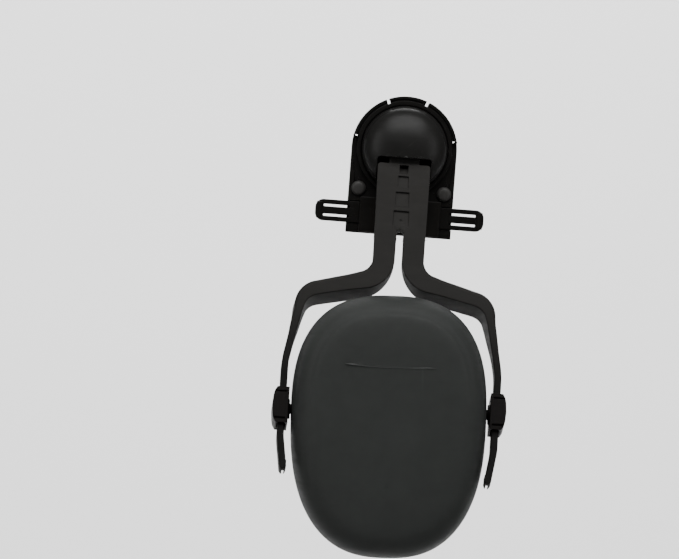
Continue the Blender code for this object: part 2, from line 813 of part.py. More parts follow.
def cushion_cover(finish, cup):
    """Soft skin round the foam, open on the side that the plate closes."""
    outer = (
        (0.0056, 0.0166),
        (0.0049, 0.0190),
        (0.0049, 0.0238),
        (0.0066, 0.0270),
        (0.0100, 0.0284),
        (0.0134, 0.0270),
        (0.0151, 0.0238),
        (0.0151, 0.0190),
        (0.0144, 0.0166),
    )
    inner = (
        (0.0136, 0.0166),
        (0.0143, 0.0190),
        (0.0143, 0.0237),
        (0.0128, 0.0265),
        (0.0100, 0.0276),
        (0.0072, 0.0265),
        (0.0057, 0.0237),
        (0.0057, 0.0190),
        (0.0064, 0.0166),
    )
    return ring_band("cushion_cover", outer + inner, finish, cup)


def build():
    black = material("black_moulding", BLACK, 0.45)
    charcoal = material("charcoal_moulding", CHARCOAL, 0.42)
    grey = material("cup_grey", GREY, 0.5)
    rivet_grey = material("rivet_grey", (0.04, 0.04, 0.038), 0.4)
    steel = material("spring_steel", STEEL, 0.3, 1.0)
    foam = material("foam", FOAM, 0.95)
    skin = material("cushion_skin", (0.015, 0.015, 0.015), 0.5)
    cloth = material("liner_cloth", (0.03, 0.03, 0.03), 0.9)

    bracket_back(black)
    bracket_front(black)
    for name, place in RIVET_PLACES.items():
        rivet(name, place, rivet_grey)
    accessory_bar(black)
    wave_washer(steel)

    turntable(black)
    pivot_cap(charcoal)
    for name, side in (("front", -1), ("rear", 1)):
        hinge_pin(f"{name}_hinge_pin", side, steel)
        torsion_spring(f"{name}_torsion_spring", side, steel)

    hinge = frame("arm_hinge", (0, HINGE_Y, 0), (-LEAN, 0, 0))
    cup = frame("cup_pivot", (0, PIVOT_Y, PIVOT_Z), (0, CUP_ROLL, 0))
    arm_carrier(black, hinge)
    detent_leaf(steel, hinge)
    fork_arm(charcoal, hinge)
    for name, side in (("front", -1), ("rear", 1)):
        clip(f"{name}_clip", side, black, hinge, cup)
        cup_socket(f"{name}_cup_socket", side, black, cup)
    cup_shell(grey, cup)
    foam_liner(foam, cup)
    liner_cloth(cloth, cup)
    cushion_plate(black, cup)
    cushion_foam(foam, cup)
    cushion_cover(skin, cup)


clear_scene()
parts = new_collection(COLLECTION)
cutters = new_collection("cutters")
cutters.hide_render = True
build()
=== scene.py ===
"""Visual model of a helmet-mounted earmuff: slotted bracket, swivel head, sliding fork arm, clips and ear cup.

Units are metres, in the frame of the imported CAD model: the origin is on the swivel axis, on the back of the
bracket, +X points to the helmet's rear, +Y to the head and +Z up.
"""

import math

import bmesh
import bpy
from mathutils import Matrix, Vector


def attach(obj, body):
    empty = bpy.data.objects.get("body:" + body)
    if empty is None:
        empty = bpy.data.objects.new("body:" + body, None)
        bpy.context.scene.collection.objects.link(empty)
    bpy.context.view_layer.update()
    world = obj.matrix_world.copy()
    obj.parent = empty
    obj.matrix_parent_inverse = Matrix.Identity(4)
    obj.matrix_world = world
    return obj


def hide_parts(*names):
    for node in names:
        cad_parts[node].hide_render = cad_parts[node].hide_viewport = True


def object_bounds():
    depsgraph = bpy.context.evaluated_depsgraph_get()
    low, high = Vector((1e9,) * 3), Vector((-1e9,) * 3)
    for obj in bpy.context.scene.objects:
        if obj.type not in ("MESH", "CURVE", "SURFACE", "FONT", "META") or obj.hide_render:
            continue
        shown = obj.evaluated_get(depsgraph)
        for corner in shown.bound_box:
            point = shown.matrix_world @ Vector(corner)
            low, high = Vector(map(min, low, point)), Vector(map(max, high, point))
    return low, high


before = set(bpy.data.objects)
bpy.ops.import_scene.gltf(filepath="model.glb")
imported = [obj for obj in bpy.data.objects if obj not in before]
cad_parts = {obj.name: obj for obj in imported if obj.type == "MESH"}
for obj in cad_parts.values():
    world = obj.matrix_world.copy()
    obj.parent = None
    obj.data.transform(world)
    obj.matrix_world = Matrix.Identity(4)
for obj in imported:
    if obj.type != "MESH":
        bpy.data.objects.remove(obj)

CAD_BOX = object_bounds()
GAP = 0.0003

# Bracket.
ARCH_RADIUS = 0.02275
ARCH_BOTTOM = -0.0375
BACK_THICKNESS = 0.0020
HOUSING_FLOOR = 0.0046
HOUSING_RIM = 0.0072
CHANNEL_ROOF = 0.0076
ROOF_HALF_WIDTH = 0.0173
ROOF_TOP = -0.0219
RING_RADIUS = 0.0205
LIP_RADIUS = 0.0190
SLIT_ANGLES = (22.6, -22.6)
RIVET_PLACES = {"front_rivet": (-0.0185, -0.0182), "rear_rivet": (0.0185, -0.0182)}
RIVET_RADIUS = 0.00315
PRONG_INNER = 0.0040
PRONG_OUTER = 0.0095
PRONG_TIP = -0.0520

# Accessory bar.
BAR_HALF_LENGTH = 0.0365
BAR_HEIGHT = 0.0093
BAR_Z = -0.0287
BAR_BACK = 0.0024
BAR_FRONT = 0.0051
BAR_SLOT_PITCH = 0.0042
BAR_SLOT_WIDTH = 0.0010
BAR_SLOT_START = 0.0215
BAR_SLOT_END = 0.0330
BAR_STOP_START = 0.0336
BAR_STOP_HEIGHT = 0.0003
BAR_STOP_END = 0.0359

# Swivel cap.
CAP_RADIUS = 0.0183
CAP_BASE = 0.0077
CAP_SHOULDER = 0.0095
CAP_APEX = 0.0190
CAP_WALL = 0.0013
MOUTH_HALF_WIDTH = 0.01165
MOUTH_TOP = -0.0040

# Fork arm, upright in its own frame, whose origin is on the hinge.
HINGE = Vector((0, -0.0118, 0))
LEAN = math.radians(18)
STEM_HALF_WIDTH = 0.01135
STEM_HALF_THICKNESS = 0.0020
STEM_SHOULDER = -0.0076
TAB_HALF_WIDTH = 0.0065
TAB_HALF_THICKNESS = 0.0015
TAB_TOP = 0.0110
SLOT_HALF_WIDTH = 0.0015
SLOT_TOP = -0.0390
LEG_DEPTH = 0.0145
LEG_DRAFT = 0.0005
STRIP_X = 0.0456
STRIP_WIDTH = 0.0030
STRIP_DEPTH = 0.0085
STRIP_TIP = -0.1468
CLIP_HALF_HEIGHT = 0.0080

# Ear cup, upright in its own frame, whose origin is on the pivot between the clips.
PIVOT = Vector((0, -0.0460, -0.1130))
CUP_ROLL = math.radians(-2.6)
CUP_HALF_WIDTH = 0.04175
CUP_ABOVE = 0.0512
CUP_BELOW = 0.0608
CUP_MIDDLE = -0.0016
CUP_RIM = 0.0140
STUB_RADIUS = 0.0022
DIMPLE = (-0.0010, -0.0319)
RIDGE_DEPTH = -0.02098
RIDGE = ((-0.0198, 0.0202), (-0.0100, 0.0193), (-0.0004, 0.0190), (0.0092, 0.0191), (0.0188, 0.0194))

ARM_FRAME = Matrix.Translation(HINGE) @ Matrix.Rotation(-LEAN, 4, "X")
CUP_FRAME = Matrix.Translation(PIVOT) @ Matrix.Rotation(CUP_ROLL, 4, "Y")


# ---------------------------------------------------------------- shapes

def new_object(name, mesh):
    obj = bpy.data.objects.new(name, mesh)
    bpy.context.scene.collection.objects.link(obj)
    return obj


def mesh_of(bm):
    bmesh.ops.recalc_face_normals(bm, faces=bm.faces)
    mesh = bpy.data.meshes.new("mesh")
    bm.to_mesh(mesh)
    bm.free()
    return mesh


def loft(rings, loop=False):
    """Faces between rings of equal length. A loop joins the last ring to the first, and otherwise both are capped."""
    bm = bmesh.new()
    rows = [[bm.verts.new(point) for point in ring] for ring in rings]
    for near, far in zip(rows, rows[1:] + rows[:1] if loop else rows[1:]):
        for i in range(len(near)):
            j = (i + 1) % len(near)
            bm.faces.new((near[i], near[j], far[j], far[i]))
    if not loop:
        bm.faces.new(rows[0])
        bm.faces.new(rows[-1])
    return mesh_of(bm)


def prism(outline, back, front):
    """A plate whose outline of (x, z) points runs from depth back to depth front along -Y."""
    return loft([[(x, -depth, z) for x, z in outline] for depth in (back, front)])


def box(low, high):
    (x0, y0, z0), (x1, y1, z1) = low, high
    outline = [(x0, z0), (x1, z0), (x1, z1), (x0, z1)]
    return prism(outline, -y1, -y0)


def rod(start, end, radius, sides=48):
    start, end = Vector(start), Vector(end)
    turn = (end - start).to_track_quat("Z", "Y")
    rings = []
    for place in (start, end):
        ring = []
        for i in range(sides):
            angle = 2 * math.pi * i / sides
            offset = turn @ Vector((radius * math.cos(angle), radius * math.sin(angle), 0))
            ring.append(place + offset)
        rings.append(ring)
    return loft(rings)


def turned(profile, steps=128, centre=(0, 0)):
    """A solid turned about an axis along Y through centre, from (radius, depth) points that all lie off the axis."""
    rings = []
    for i in range(steps):
        angle = 2 * math.pi * i / steps
        sine, cosine = math.sin(angle), math.cos(angle)
        rings.append([(centre[0] + r * cosine, -depth, centre[1] + r * sine) for r, depth in profile])
    return loft(rings, loop=True)


def disc(profile, steps=64, centre=(0, 0)):
    """A solid turned about an axis along Y, from rings of (radius, depth), capped at both ends."""
    rings = []
    for radius, depth in profile:
        ring = []
        for i in range(steps):
            angle = 2 * math.pi * i / steps
            ring.append((centre[0] + radius * math.cos(angle), -depth, centre[1] + radius * math.sin(angle)))
        rings.append(ring)
    return loft(rings)


def cut(obj, mesh):
    """Cuts a small mesh out of a finished object."""
    tool = new_object("tool", mesh)
    boolean = obj.modifiers.new("cut", "BOOLEAN")
    boolean.solver = "EXACT"
    boolean.object = tool
    bpy.context.view_layer.update()
    obj.data = evaluated_mesh(obj)
    obj.modifiers.clear()
    bpy.data.objects.remove(tool)
    return smooth(obj)


def evaluated_mesh(obj):
    graph = bpy.context.evaluated_depsgraph_get()
    graph.update()
    return bpy.data.meshes.new_from_object(obj.evaluated_get(graph))


def shape(name, mesh, tools=(), place=None):
    """An object from a mesh and a list of (operation, mesh) tools, in the frame place, with flat faces cleaned up."""
    obj = new_object(name, mesh)
    helpers = []
    for operation, tool in tools:
        helper = new_object("tool", tool)
        helpers.append(helper)
        boolean = obj.modifiers.new("boolean", "BOOLEAN")
        boolean.operation = operation
        boolean.solver = "EXACT"
        boolean.object = helper
    clean = obj.modifiers.new("clean", "DECIMATE")
    clean.decimate_type = "DISSOLVE"
    clean.angle_limit = math.radians(0.5)
    bpy.context.view_layer.update()
    obj.data = evaluated_mesh(obj)
    obj.modifiers.clear()
    for helper in helpers:
        bpy.data.objects.remove(helper)
    if place is not None:
        obj.data.transform(place)
    return obj


def soften(obj, width, segments=3, angle=32):
    """Rounds the sharp edges, and keeps the flat faces flat in their shading."""
    split = obj.modifiers.new("split", "TRIANGULATE")
    split.min_vertices = 5
    bevel = obj.modifiers.new("edges", "BEVEL")
    bevel.width = width
    bevel.segments = segments
    bevel.limit_method = "ANGLE"
    bevel.angle_limit = math.radians(angle)
    bevel.use_clamp_overlap = False
    bevel.miter_outer = "MITER_ARC"
    bevel.harden_normals = True
    bpy.context.view_layer.update()
    obj.data = evaluated_mesh(obj)
    obj.modifiers.clear()
    return smooth(obj)


def smooth(obj, angle=40):
    obj.data.shade_smooth()
    obj.data.set_sharp_from_angle(angle=math.radians(angle))
    weighted = obj.modifiers.new("normals", "WEIGHTED_NORMAL")
    weighted.keep_sharp = True
    return obj


def subdivide(obj, levels):
    surface = obj.modifiers.new("surface", "SUBSURF")
    surface.levels = levels
    surface.render_levels = levels
    bpy.context.view_layer.update()
    obj.data = evaluated_mesh(obj)
    obj.modifiers.clear()
    obj.data.shade_smooth()
    return obj


def arc(centre, radius, start, end, steps):
    """Points (x, z) on an arc. Angles are in degrees from +X towards +Z."""
    found = []
    for i in range(steps + 1):
        angle = math.radians(start + (end - start) * i / steps)
        found.append((centre[0] + radius * math.cos(angle), centre[1] + radius * math.sin(angle)))
    return found


def rounded_box_outline(low_x, high_x, low_z, high_z, radius, steps=6):
    return (
        arc((high_x - radius, low_z + radius), radius, -90, 0, steps)
        + arc((high_x - radius, high_z - radius), radius, 0, 90, steps)
        + arc((low_x + radius, high_z - radius), radius, 90, 180, steps)
        + arc((low_x + radius, low_z + radius), radius, 180, 270, steps)
    )


def rounded_path(corners, radii, step):
    """An open path of (x, z) points through the corners, each interior corner rounded by its radius."""
    points = [Vector(corners[0])]
    for before, corner, after, radius in zip(corners, corners[1:], corners[2:], radii):
        corner = Vector(corner)
        inward = (corner - Vector(before)).normalized()
        outward = (Vector(after) - corner).normalized()
        turn = math.acos(max(-1, min(1, inward.dot(outward))))
        cut = radius * math.tan(turn / 2)
        start, end = corner - inward * cut, corner + outward * cut
        centre = corner + (outward - inward).normalized() * radius / math.cos(turn / 2)
        count = max(2, round(radius * turn / step))
        for i in range(count + 1):
            along = start.lerp(end, i / count) - centre
            points.append(centre + along.normalized() * radius)
    points.append(Vector(corners[-1]))
    return points


def filled_in(points, step):
    """The same path with its long straight stretches divided."""
    found = [points[0]]
    for near, far in zip(points, points[1:]):
        count = max(1, round((far - near).length / step))
        found += [near.lerp(far, i / count) for i in range(1, count + 1)]
    return found


def smooth_step(low, high, value):
    share = max(0, min(1, (value - low) / (high - low)))
    return share * share * (3 - 2 * share)


def blend_between(value, stops):
    """A value that eases between (place, size) stops."""
    for (near, small), (far, large) in zip(stops, stops[1:]):
        if value <= far:
            share = max(0, (value - near) / (far - near))
            return small + (large - small) * share * share * (3 - 2 * share)
    return stops[-1][1]


def smooth_curve(points, steps):
    """A Catmull-Rom curve through (a, b) points, with steps pieces in each stretch."""
    points = [Vector(p) for p in points]
    ends = [2 * points[0] - points[1]] + points + [2 * points[-1] - points[-2]]
    found = []
    for p0, p1, p2, p3 in zip(ends, ends[1:], ends[2:], ends[3:]):
        for i in range(steps):
            t = i / steps
            found.append(
                0.5 * (2 * p1 + (p2 - p0) * t + (2 * p0 - 5 * p1 + 4 * p2 - p3) * t * t
                       + (3 * p1 - p0 - 3 * p2 + p3) * t * t * t)
            )
    found.append(points[-1])
    return found


# ---------------------------------------------------------------- materials

class Nodes:
    """A material's node tree, written as calls."""

    def __init__(self, name):
        self.material = bpy.data.materials.new(name)
        self.material.use_nodes = True
        self.tree = self.material.node_tree
        self.shader = self.tree.nodes["Principled BSDF"]
        self.place = self.add("ShaderNodeTexCoord").outputs["Object"]

    def add(self, kind, **settings):
        node = self.tree.nodes.new(kind)
        for key, value in settings.items():
            setattr(node, key, value)
        return node

    def link(self, source, target):
        self.tree.links.new(source, target)

    def noise(self, scale, detail=3.0, rough=0.5, stretch=None):
        place = self.place
        if stretch:
            mapping = self.add("ShaderNodeMapping")
            mapping.inputs["Scale"].default_value = stretch
            self.link(place, mapping.inputs["Vector"])
            place = mapping.outputs["Vector"]
        node = self.add("ShaderNodeTexNoise")
        node.inputs["Scale"].default_value = scale
        node.inputs["Detail"].default_value = detail
        node.inputs["Roughness"].default_value = rough
        self.link(place, node.inputs["Vector"])
        return node.outputs["Fac"]

    def cells(self, scale, feature="F1", smoothness=None):
        node = self.add("ShaderNodeTexVoronoi", feature=feature)
        node.inputs["Scale"].default_value = scale
        if smoothness is not None:
            node.inputs["Smoothness"].default_value = smoothness
        self.link(self.place, node.inputs["Vector"])
        return node.outputs["Distance"]

    def span(self, value, low, high, to_low=0.0, to_high=1.0):
        node = self.add("ShaderNodeMapRange")
        for name, number in (("From Min", low), ("From Max", high), ("To Min", to_low), ("To Max", to_high)):
            node.inputs[name].default_value = number
        self.link(value, node.inputs["Value"])
        return node.outputs["Result"]

    def maths(self, operation, first, second):
        node = self.add("ShaderNodeMath", operation=operation)
        for socket, value in zip(node.inputs, (first, second)):
            if isinstance(value, (int, float)):
                socket.default_value = value
            else:
                self.link(value, socket)
        return node.outputs["Value"]

    def mix(self, share, first, second):
        """A colour between first and second, each a colour or a socket."""
        node = self.add("ShaderNodeMix", data_type="RGBA")
        self.link(share, node.inputs["Factor"])
        for socket, value in ((node.inputs[6], first), (node.inputs[7], second)):
            if isinstance(value, tuple):
                socket.default_value = (*value, 1)
            else:
                self.link(value, socket)
        return node.outputs[2]

    def bump(self, heights):
        """One bump after another, from (height, distance in metres, strength)."""
        normal = None
        for height, distance, strength in heights:
            node = self.add("ShaderNodeBump")
            node.inputs["Distance"].default_value = distance
            node.inputs["Strength"].default_value = strength
            self.link(height, node.inputs["Height"])
            if normal:
                self.link(normal, node.inputs["Normal"])
            normal = node.outputs["Normal"]
        self.link(normal, self.shader.inputs["Normal"])

    def set(self, **values):
        for name, value in values.items():
            self.shader.inputs[name.replace("_", " ")].default_value = value


def scaled(colour, factor):
    return tuple(min(1.0, channel * factor) for channel in colour)


def moulded(name, colour, rough, grain=900, grain_depth=0.00002, worn=1.8, gloss=0.22, painted_shade=None):
    """Injection-moulded plastic: spark-eroded grain, flow variation, rubbed edges, fine handling marks, and where asked
    a painted shade that darkens it towards the bottom.
    """
    n = Nodes(name)
    broad = n.noise(28, 3.0, 0.6)
    cloud = n.noise(160, 4.0, 0.6)
    fine = n.noise(grain, 2.0, 0.55)
    cells = n.cells(grain * 0.8, "SMOOTH_F1", 0.6)
    scuffs = n.noise(60, 5.0, 0.65, (1.0, 1.0, 9.0))
    edge = n.span(n.add("ShaderNodeNewGeometry").outputs["Pointiness"], 0.53, 0.60)
    base = n.mix(n.span(broad, 0.35, 0.65), scaled(colour, 0.93), scaled(colour, 1.07))
    base = n.mix(n.span(cloud, 0.30, 0.75, 0.0, 0.35), base, scaled(colour, 1.14))
    rubbed = n.maths("MULTIPLY", edge, n.span(cloud, 0.35, 0.65, 0.25, 0.9))
    base = n.mix(rubbed, base, scaled(colour, worn))
    # Painted shade: below the given height the colour darkens to the given share of itself.
    if painted_shade:
        split = n.add("ShaderNodeSeparateXYZ")
        n.link(n.place, split.inputs["Vector"])
        base = n.mix(n.span(split.outputs["Z"], painted_shade[0], painted_shade[1], 0.0, 1.0), scaled(colour, painted_shade[2]), base)
    n.link(base, n.shader.inputs["Base Color"])
    shine = n.span(scuffs, 0.35, 0.70, rough - 0.05, rough + 0.07)
    shine = n.maths("SUBTRACT", shine, n.maths("MULTIPLY", rubbed, 0.10))
    n.link(shine, n.shader.inputs["Roughness"])
    n.bump([(fine, grain_depth, 0.55), (cells, grain_depth, 0.35), (scuffs, grain_depth * 0.5, 0.2)])
    n.set(Specular_IOR_Level=gloss)
    return n.material


def steel(name, tint=(0.46, 0.46, 0.45), rough=0.28):
    """Drawn spring steel: fine draw lines, small stains and a varied polish."""
    n = Nodes(name)
    lines = n.noise(900, 3.0, 0.6, (0.08, 1.0, 1.0))
    stains = n.noise(220, 4.0, 0.6)
    base = n.mix(n.span(stains, 0.4, 0.75), tint, scaled(tint, 0.62))
    n.link(base, n.shader.inputs["Base Color"])
    n.link(n.span(lines, 0.3, 0.7, rough - 0.08, rough + 0.14), n.shader.inputs["Roughness"])
    n.bump([(lines, 0.00001, 0.5)])
    n.set(Metallic=1.0)
    return n.material


def leatherette(name, colour):
    """Soft vinyl skin: pebbled grain with painted shade in the valleys between the pebbles and painted light on their
    tops, fine creases, and a dull sheen where it is stretched.
    """
    n = Nodes(name)
    pebbles = n.cells(1300, "SMOOTH_F1", 0.4)
    creases = n.cells(420, "DISTANCE_TO_EDGE")
    broad = n.noise(70, 4.0, 0.6)
    fine = n.noise(2600, 2.0, 0.6)
    valley_shade = n.span(pebbles, 0.15, 0.55)
    # Painted shade: darker in the valleys between the pebbles, lighter on their tops.
    base = n.mix(valley_shade, scaled(colour, 1.25), scaled(colour, 0.75))
    base = n.mix(n.span(broad, 0.4, 0.7, 0.0, 0.5), base, scaled(colour, 1.5))
    n.link(base, n.shader.inputs["Base Color"])
    n.link(n.span(broad, 0.3, 0.7, 0.42, 0.56), n.shader.inputs["Roughness"])
    n.bump([
        (n.span(creases, 0.0, 0.12), 0.00006, 0.35),
        (pebbles, 0.00008, 0.55),
        (fine, 0.00002, 0.3),
        (broad, 0.0003, 0.25),
    ])
    n.set(Sheen_Weight=0.12, Sheen_Roughness=0.4, Specular_IOR_Level=0.45)
    return n.material


def open_foam(name, colour):
    """Open-cell foam: pores of two sizes, with painted shade darkening their insides and paler cell walls."""
    n = Nodes(name)
    pores = n.cells(900, "DISTANCE_TO_EDGE")
    large = n.cells(430, "F1")
    broad = n.noise(60, 4.0, 0.6)
    wall = n.span(pores, 0.0, 0.16, 1.0, 0.0)
    # Painted shade: the pores' insides are darkened and their walls lightened.
    base = n.mix(wall, scaled(colour, 0.45), scaled(colour, 1.35))
    base = n.mix(n.span(large, 0.25, 0.6, 0.0, 0.5), base, scaled(colour, 0.6))
    base = n.mix(n.span(broad, 0.35, 0.7, 0.0, 0.4), base, scaled(colour, 1.2))
    n.link(base, n.shader.inputs["Base Color"])
    n.link(n.span(broad, 0.3, 0.7, 0.88, 0.98), n.shader.inputs["Roughness"])
    n.bump([(large, 0.0005, 0.6), (wall, 0.0004, 0.8), (broad, 0.0008, 0.3)])
    n.set(Sheen_Weight=0.2, Sheen_Roughness=0.6, Specular_IOR_Level=0.2)
    return n.material


def woven(name, colour, pitch=0.0007):
    """Thin plain-weave cloth: warp and weft as crossed ridges, with uneven yarns and fuzz."""
    n = Nodes(name)
    split = n.add("ShaderNodeSeparateXYZ")
    n.link(n.place, split.inputs["Vector"])
    waver = n.noise(300, 2.0, 0.5)
    turns = 2 * math.pi / pitch
    threads = []
    for axis in ("X", "Z"):
        along = n.maths("MULTIPLY", split.outputs[axis], turns)
        along = n.maths("ADD", along, n.maths("MULTIPLY", waver, 1.6))
        threads.append(n.maths("SINE", along, 0.0))
    over = n.maths("MULTIPLY", threads[0], threads[1])
    height = n.maths("MAXIMUM", n.maths("ABSOLUTE", threads[0], 0.0), n.maths("ABSOLUTE", threads[1], 0.0))
    fuzz = n.noise(2600, 3.0, 0.6)
    broad = n.noise(45, 4.0, 0.6)
    base = n.mix(n.span(over, -0.6, 0.6), scaled(colour, 0.7), scaled(colour, 1.3))
    base = n.mix(n.span(broad, 0.4, 0.7, 0.0, 0.4), base, scaled(colour, 1.35))
    n.link(base, n.shader.inputs["Base Color"])
    n.link(n.span(fuzz, 0.3, 0.7, 0.82, 0.96), n.shader.inputs["Roughness"])
    n.bump([(height, 0.00012, 0.7), (over, 0.00006, 0.5), (fuzz, 0.00003, 0.4)])
    n.set(Sheen_Weight=0.35, Sheen_Roughness=0.5, Specular_IOR_Level=0.2)
    return n.material


def studio_paper(name, colour):
    n = Nodes(name)
    broad = n.noise(3, 3.0, 0.5)
    fine = n.noise(700, 3.0, 0.6)
    n.link(n.mix(n.span(broad, 0.3, 0.7), colour, scaled(colour, 0.985)), n.shader.inputs["Base Color"])
    n.link(n.span(fine, 0.3, 0.7, 0.85, 0.95), n.shader.inputs["Roughness"])
    n.bump([(fine, 0.00005, 0.2)])
    return n.material


MATERIALS = {
    "bracket_black": moulded("bracket_black", (0.0052, 0.0046, 0.0039), 0.46, gloss=0.2, worn=2.6),
    "cap_charcoal": moulded("cap_charcoal", (0.0150, 0.0147, 0.0139), 0.36, grain=1500, grain_depth=0.000008, worn=1.5),
    # Painted shade: the arm's colour darkens towards its bottom, so the lower strips look as if they hang in shade.
    "arm_charcoal": moulded("arm_charcoal", (0.0265, 0.0253, 0.0236), 0.60, gloss=0.12, worn=1.7, painted_shade=(-0.098, -0.066, 0.4)),
    "clip_black": moulded("clip_black", (0.0052, 0.0036, 0.0031), 0.46, gloss=0.12, worn=2.4),
    "rivet_grey": moulded("rivet_grey", (0.0496, 0.0480, 0.0456), 0.42, worn=1.4),
    "cup_grey": moulded("cup_grey", (0.0500, 0.0530, 0.0508), 0.56, gloss=0.14, grain=1100, worn=1.5),
    "cushion_plate": moulded("cushion_plate", (0.0100, 0.0100, 0.0098), 0.45, worn=2.0),
    "cushion_skin": leatherette("cushion_skin", (0.0115, 0.0112, 0.0110)),
    "foam": open_foam("foam", (0.050, 0.050, 0.052)),
    "liner_cloth": woven("liner_cloth", (0.022, 0.022, 0.023)),
    "spring_steel": steel("spring_steel"),
}


def finish_piece(obj, body, slot, *nodes):
    """Gives the piece the material of its slot, parents it to its CAD body, and hides the CAD nodes that it stands for.
    """
    obj.data.materials.clear()
    obj.data.materials.append(MATERIALS[slot])
    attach(obj, body)
    if nodes:
        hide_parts(*nodes)
    return obj


# ---------------------------------------------------------------- bracket and bar

def slit_tools():
    """The narrow slits through the arch: two open ones near the top and a closed one at each side."""
    tools = []
    for degrees in SLIT_ANGLES:
        slit = box((-0.00065, -0.010, 0.0206), (0.00065, 0.001, 0.0240))
        slit.transform(Matrix.Rotation(math.radians(degrees), 4, "Y"))
        tools.append(("DIFFERENCE", slit))
    for side in (1, -1):
        low, high = sorted((side * 0.0205, side * 0.0222))
        tools.append(("DIFFERENCE", box((low, -0.010, 0.0042), (high, 0.001, 0.0049))))
    return tools


def make_bracket_back():
    outline = arc((0, 0), ARCH_RADIUS, 0, 180, 72) + [
        (-ARCH_RADIUS, ARCH_BOTTOM + 0.0004),
        (-PRONG_OUTER, ARCH_BOTTOM),
        (-PRONG_OUTER, PRONG_TIP + 0.002),
        (-PRONG_OUTER + 0.0015, PRONG_TIP),
        (-PRONG_INNER, PRONG_TIP),
        (-PRONG_INNER, ARCH_BOTTOM + 0.0010),
        (PRONG_INNER, ARCH_BOTTOM + 0.0010),
        (PRONG_INNER, PRONG_TIP),
        (PRONG_OUTER - 0.0015, PRONG_TIP),
        (PRONG_OUTER, PRONG_TIP + 0.002),
        (PRONG_OUTER, ARCH_BOTTOM),
        (ARCH_RADIUS, ARCH_BOTTOM + 0.0004),
    ]
    tools = []
    for side in (1, -1):
        low, high = sorted((side * (PRONG_INNER + 0.0006), side * (PRONG_OUTER - 0.0006)))
        barb = box((low, -0.0031, PRONG_TIP + 0.0025), (high, -0.0015, PRONG_TIP + 0.0042))
        tools.append(("UNION", barb))
    tools += slit_tools()
    for x, z in RIVET_PLACES.values():
        tools.append(("DIFFERENCE", rod((x, 0.001, z), (x, -0.003, z), 0.0018)))
    plate = shape("bracket_back_plate", prism(outline, 0, BACK_THICKNESS), tools)
    soften(plate, 0.00022)
    return finish_piece(plate, "bracket", "bracket_black", "bracket_back")


def make_bracket_front():
    """Arched rim with a ridge on each side of a groove, low flanges, and the roof of the bar's channel."""
    back = BACK_THICKNESS + GAP
    outline = arc((0, 0), ARCH_RADIUS, 0, 180, 96) + [(-ARCH_RADIUS, ARCH_BOTTOM), (ARCH_RADIUS, ARCH_BOTTOM)]
    step = shape(
        "step",
        box((-0.030, -0.010, -0.045), (0.030, -HOUSING_FLOOR, 0.0039)),
        [("DIFFERENCE", rod((0, -0.001, 0), (0, -0.012, 0), RING_RADIUS, 96))],
    )
    step_mesh = step.data
    bpy.data.objects.remove(step)
    groove = turned([(0.0216, 0.010), (0.0216, 0.0063), (0.0208, 0.0063), (0.0208, 0.010)], 96)
    tools = [
        ("DIFFERENCE", step_mesh),
        ("UNION", box((-ROOF_HALF_WIDTH, -CHANNEL_ROOF, -0.0370), (ROOF_HALF_WIDTH, -0.0035, ROOF_TOP))),
        ("DIFFERENCE", groove),
        ("DIFFERENCE", rod((0, -0.001, 0), (0, -0.0050, 0), 0.0197, 96)),
        ("DIFFERENCE", rod((0, -0.001, 0), (0, -0.010, 0), LIP_RADIUS, 96)),
    ]
    half = BAR_HEIGHT / 2 + GAP
    channel = box((-0.03, -BAR_FRONT - 0.0004, BAR_Z - half), (0.03, 0, BAR_Z + half))
    tools.append(("DIFFERENCE", channel))
    tools += slit_tools()
    for x, z in RIVET_PLACES.values():
        tools.append(("DIFFERENCE", rod((x, 0, z), (x, -0.008, z), 0.0018)))
    housing = shape("bracket_housing", prism(outline, back, HOUSING_RIM), tools)
    soften(housing, 0.00022)
    return finish_piece(housing, "bracket", "bracket_black", "bracket_front")


def make_rivet(name, place):
    """Push rivet: a low crowned head with a faint rim, and its shank."""
    head = HOUSING_FLOOR + GAP
    profile = [
        (0.0004, head + 0.00140),
        (0.0010, head + 0.00138),
        (0.0018, head + 0.00130),
        (0.0024, head + 0.00112),
        (0.0028, head + 0.00085),
        (RIVET_RADIUS - 0.00012, head + 0.0005),
        (RIVET_RADIUS, head + 0.00025),
        (RIVET_RADIUS, head + 0.0001),
        (RIVET_RADIUS - 0.0001, head),
        (0.0015, head),
        (0.0015, GAP + 0.0002),
        (0.0013, GAP),
    ]
    rivet = smooth(new_object(name + "_head", disc(profile, 64, place)), 50)
    return finish_piece(rivet, "bracket", "rivet_grey", name)


def make_bar():
    """Flat bar with round ends, two long slots and a low stop at each end."""
    half = BAR_HEIGHT / 2
    outline = rounded_box_outline(-BAR_HALF_LENGTH, BAR_HALF_LENGTH, BAR_Z - half, BAR_Z + half, 0.0035, 10)
    tools = []
    for side in (1, -1):
        low, high = sorted((side * BAR_STOP_START, side * BAR_STOP_END))
        stop = box(
            (low, -BAR_FRONT - BAR_STOP_HEIGHT, BAR_Z - half + 0.0012),
            (high, -BAR_FRONT + 0.0005, BAR_Z + half - 0.0012),
        )
        tools.append(("UNION", stop))
        low, high = sorted((side * BAR_SLOT_START, side * BAR_SLOT_END))
        for level in (0.5, -0.5):
            middle = BAR_Z + level * BAR_SLOT_PITCH
            slot = rounded_box_outline(low, high, middle - BAR_SLOT_WIDTH / 2, middle + BAR_SLOT_WIDTH / 2, 0.00045, 4)
            tools.append(("DIFFERENCE", prism(slot, 0, 0.010)))
    bar = shape("slotted_bar", prism(outline, BAR_BACK, BAR_FRONT), tools)
    soften(bar, 0.00022)
    return finish_piece(bar, "bar", "bracket_black", "accessory_bar")


# ---------------------------------------------------------------- swivel head

